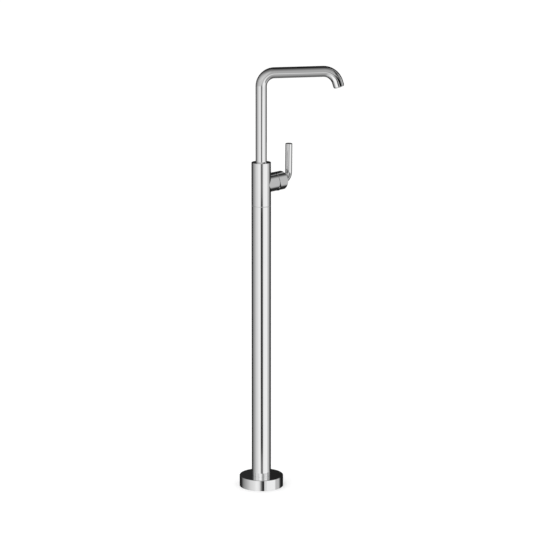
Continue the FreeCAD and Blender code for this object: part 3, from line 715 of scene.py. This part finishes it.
def bodyWall(low, high):
    # The upright wall, open where the sleeve comes out of it
    radius, sleeve = column["radius"], mixer["sleeve"]
    level = handle["height"] / mm
    edge = math.asin(sleeve / radius)
    lower, upper, back = [[], []], [[], []], [[], []]

    def add(ring, turned, height):
        across = outwards * math.cos(turned) + sideways * math.sin(turned)
        ring.append((across * radius + Vector((0, 0, height)), across))

    front, rest = mixer["frontSteps"], mixer["backSteps"]
    for step in range(-front, front + 1):
        angle = math.pi / 2 * step / front
        turned = math.asin(sleeve * math.sin(angle) / radius)
        opening = sleeve * math.cos(angle)
        for rings, start, end in ((lower, low, level - opening), (upper, level + opening, high)):
            add(rings[0], turned, start)
            add(rings[1], turned, end)
    for step in range(rest + 1):
        turned = edge + (2 * math.pi - 2 * edge) * step / rest
        add(back[0], turned, low)
        add(back[1], turned, high)
    return [(lower, False), (upper, False), (back, False)]


def sleeveWall():
    # From the line where it leaves the upright wall to its end
    radius, sleeve = column["radius"], mixer["sleeve"]
    spin = handleFrame.to_3x3()
    axis = Vector((0, 0, handle["height"] / mm))
    reach = mixer["sleeveEnd"] - mixer["sleeveBevel"]
    root, tip = [], []
    for step in range(mixer["sleeveSteps"]):
        angle = 2 * math.pi * step / mixer["sleeveSteps"]
        across = spin @ Vector((math.cos(angle), math.sin(angle), 0))
        start = math.sqrt(radius ** 2 - (sleeve * math.sin(angle)) ** 2)
        root.append((axis + across * sleeve + outwards * start, across))
        tip.append((axis + across * sleeve + outwards * reach, across))
    return [([root, tip], True)]


def handlePlace():
    # The handle's frame for meshes, in millimetres
    place = handleFrame.copy()
    place.translation = handleFrame.translation / mm
    return place


def makeMixerBody():
    radius, foot, top = column["radius"], column["seamTop"], mixer["top"]
    inset, taper = column["seamTaper"]
    bevel = mixer["topBevel"]
    socket, socketFloor = mixer["socket"]
    tail, tailFloor = mixer["tailSocket"]
    spigot, spigotFoot = mixer["spigot"]
    upright = [
        straight((0, spigotFoot), (spigot, spigotFoot)),
        straight((spigot, spigotFoot), (spigot, foot)),
        straight((spigot, foot), (radius - inset, foot)),
        straight((radius - inset, foot), (radius, foot + taper)),
        straight((radius, top - bevel), (radius - bevel, top)),
        straight((radius - bevel, top), (socket, top)),
        straight((socket, top), (socket, socketFloor)),
        straight((socket, socketFloor), (tail, socketFloor)),
        straight((tail, socketFloor), (tail, tailFloor)),
        straight((tail, tailFloor), (0, tailFloor)),
    ]
    end, edge, sleeve = mixer["sleeveEnd"], mixer["sleeveBevel"], mixer["sleeve"]
    seat, seatFloor = mixer["domeSeat"]
    chamber, chamberFloor = mixer["chamber"]
    level = [
        straight((sleeve, end - edge), (sleeve - edge, end)),
        straight((sleeve - edge, end), (seat, end)),
        straight((seat, end), (seat, seatFloor)),
        straight((seat, seatFloor), (chamber, seatFloor)),
        straight((chamber, seatFloor), (chamber, chamberFloor)),
        straight((chamber, chamberFloor), (0, chamberFloor)),
    ]
    strips = bodyWall(foot + taper, top - bevel) + sleeveWall()
    strips += lathe(upright) + lathe(level, handlePlace())
    makePiece("mixerBody", strips, "chrome", "chrome", "stand", "mixer_body")


# The dark ring between sleeve and cap, with the dome that closes the cap's wedge from inside. Both get
# near-black chrome as painted shade in the joint.
dome = {
    "radius": 21.5,
    "wall": 1.0,
    "centre": 46.0,           # from the column's axis, on the handle's axis
    "skirt": 3.8,
    "mouth": 45.0,            # degrees from the axis
    "ring": (24.7, 44.42, 45.95),   # radius, and where it begins and ends
}


def makeSleeveDome():
    outer, inner = dome["radius"], dome["radius"] - dome["wall"]
    centre, foot = dome["centre"], dome["centre"] - dome["skirt"]
    ring, ringFoot, ringTop = dome["ring"]
    mouthHeight = outer * math.cos(math.radians(dome["mouth"]))
    mouthInside = math.sqrt(inner ** 2 - mouthHeight ** 2)
    innerMouth = math.degrees(math.asin(mouthHeight / inner))
    profile = [
        straight((inner, foot), (outer, foot)),
        straight((outer, foot), (outer, ringFoot)),
        straight((outer, ringFoot), (ring, ringFoot)),
        straight((ring, ringFoot), (ring, ringTop)),
        straight((ring, ringTop), (outer, ringTop)),
        domed(centre, outer, 0, 90 - dome["mouth"]),
        straight((outer * math.sin(math.radians(dome["mouth"])), centre + mouthHeight),
                 (mouthInside, centre + mouthHeight)),
        domed(centre, inner, innerMouth, 0, -1),
        straight((inner, centre), (inner, foot)),
    ]
    # the dome and its ring are chrome painted near black, as shade in the joint
    makePiece("sleeveDome", lathe(profile, handlePlace()), "paintedShadeChrome", "chrome", "stand", "sleeve_dome")


# Spout
spout = {
    "radius": 14.3,
    "bore": 13.0,
    "foot": 846.4,
    "axis": 1085.0,           # height of the level part
    "bend": 33.0,
    "reach": 160.0,
    "noseBend": 40.0,
    "noseTurn": 72.5,
    "noseStraight": 13.0,
    "rimTaper": (1.0, 2.4),   # how far the outlet's edge draws in, and over what height
    "bendSteps": 48,
}


def spoutPath(shorter=0.0):
    # Centres up the riser and on to the outlet, each with the direction to the outside of the bends
    path = [(Vector((0, 0, spout["foot"])), Vector((-1, 0, 0)))]
    steps = spout["bendSteps"]
    for x, radius, start, turned in ((spout["bend"], spout["bend"], 180, 90),
                                     (spout["reach"], spout["noseBend"], 90, spout["noseTurn"])):
        centre = Vector((x, 0, spout["axis"] - radius))
        for step in range(steps + 1):
            angle = math.radians(start - turned * step / steps)
            away = Vector((math.cos(angle), 0, math.sin(angle)))
            path.append((centre + away * radius, away))
    along = Vector((away.z, 0, -away.x))
    path.append((path[-1][0] + along * (spout["noseStraight"] - shorter), away))
    return path


def makeSpoutPipe():
    radius, bore = spout["radius"], spout["bore"]
    inset, taper = spout["rimTaper"]
    strips = pipeWall(spoutPath(taper), radius, 1) + pipeWall(spoutPath(), bore, -1)
    outlet = spoutPath()[-1][0]
    noseFrame = Matrix.Rotation(math.radians(spout["noseTurn"] - 90), 4, "Y")
    noseFrame.translation = outlet
    strips += lathe([straight((bore, 0), (radius - inset, 0)),
                     straight((radius - inset, 0), (radius, taper))], noseFrame)
    strips += lathe([straight((bore, spout["foot"]), (radius, spout["foot"]))])
    makePiece("spoutPipe", strips, "chrome", "chrome", "spout", "spout_pipe")


# Making
bpy.context.scene.view_settings.view_transform = "Standard"
placeCamera()
print("camera placed")
makeTent()
makeFloor()
makeWorld()
makeLamp()
print("studio built")
dressNodes()
makeColumnTube()
makeMixerBody()
makeSleeveDome()
print("column, mixer body and dome made")
makeSpoutPipe()
print("spout made")
